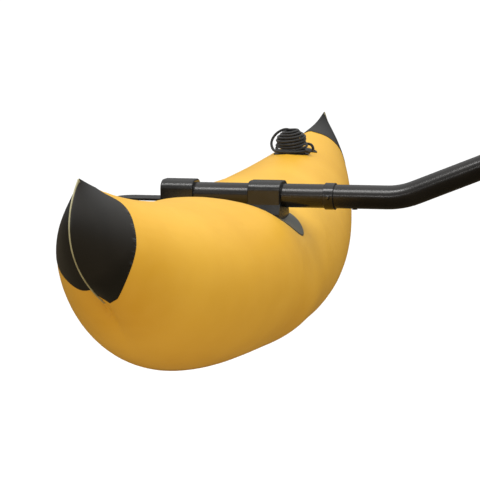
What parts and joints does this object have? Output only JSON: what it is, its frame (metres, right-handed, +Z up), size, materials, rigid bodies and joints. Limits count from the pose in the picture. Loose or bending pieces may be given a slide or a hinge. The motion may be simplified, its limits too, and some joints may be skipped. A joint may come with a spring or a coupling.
{
  "type": "kayak outrigger float",
  "caption": "Inflatable outrigger float with black tips on a bent tubular arm, with snap-button arm joint, valve and tether cord.",
  "frame": {"origin": "centre of the arm's inboard end face, where the boat's socket takes it", "axes": "+X from the float towards the boat, level with the arm's outboard stretch, +Y along the float, +Z up"},
  "size_m": [0.8013, 1.1642, 0.3856],
  "materials": {
    "yellow_pvc": "satin coated PVC film",
    "black_pvc": "satin black PVC film",
    "cut_edge": "pale cut edge of welded film",
    "moulded_black": "moulded black plastic with a soft gloss",
    "seal_rubber": "smooth seal rubber",
    "spring_steel": "bright spring steel",
    "cord": "braided black cord",
    "black_anodised": "black anodised, satin",
    "bare_aluminium": "mill finish",
    "collar_black": "gloss black",
    "rivet_black": "black painted",
    "button_steel": "plain steel, domed"
  },
  "bodies": {
    "arm": {"outboard_tube": "black_anodised", "inboard_tube": "black_anodised", "tube_connector": "bare_aluminium", "joint_collar": "collar_black", "connector_rivets": "rivet_black", "outboard_end_plug": "moulded_black", "inboard_end_plug": "moulded_black", "button_spring": "spring_steel"},
    "float": {"float_skin": "yellow_pvc", "bow_patch_port": "black_pvc", "bow_patch_starboard": "black_pvc", "stern_patch_port": "black_pvc", "stern_patch_starboard": "black_pvc", "bow_seam_edge": "cut_edge", "stern_seam_edge": "cut_edge", "outer_tube_holder": "moulded_black", "inner_tube_holder": "moulded_black", "outer_holder_patch": "black_pvc", "inner_holder_patch": "black_pvc", "valve_patch": "black_pvc", "valve_body": "moulded_black", "valve_spider": "moulded_black", "valve_seal": "seal_rubber", "valve_spring": "spring_steel", "tether_cord": "cord"},
    "valve_cap": {"valve_cap": "moulded_black"},
    "valve_stem": {"valve_stem": "moulded_black"},
    "button": {"snap_button": "button_steel"}
  },
  "joints": [
    {"name": "float_pitch", "type": "hinge", "parent": "arm", "child": "float", "pos_m": [-0.64787, 0, -0.15574], "axis": [1, 0, 0], "continuous": true},
    {"name": "button_press", "type": "slide", "parent": "arm", "child": "button", "axis": [0, 1, 0], "range_m": [0, 0.0054], "stiffness_N_per_m": 1500, "springref_m": -0.002, "deforming": ["button_spring"]},
    {"name": "cap_turn", "type": "hinge", "parent": "float", "child": "valve_cap", "pos_m": [-0.64787, 0.36, -0.1265], "axis": [0, -0.1553, 0.9879], "range_deg": [0, 90]},
    {"name": "stem_press", "type": "slide", "parent": "float", "child": "valve_stem", "axis": [0, 0.1553, -0.9879], "range_m": [0, 0.004], "stiffness_N_per_m": 600, "springref_m": -0.003, "deforming": ["valve_spring"]}
  ]
}
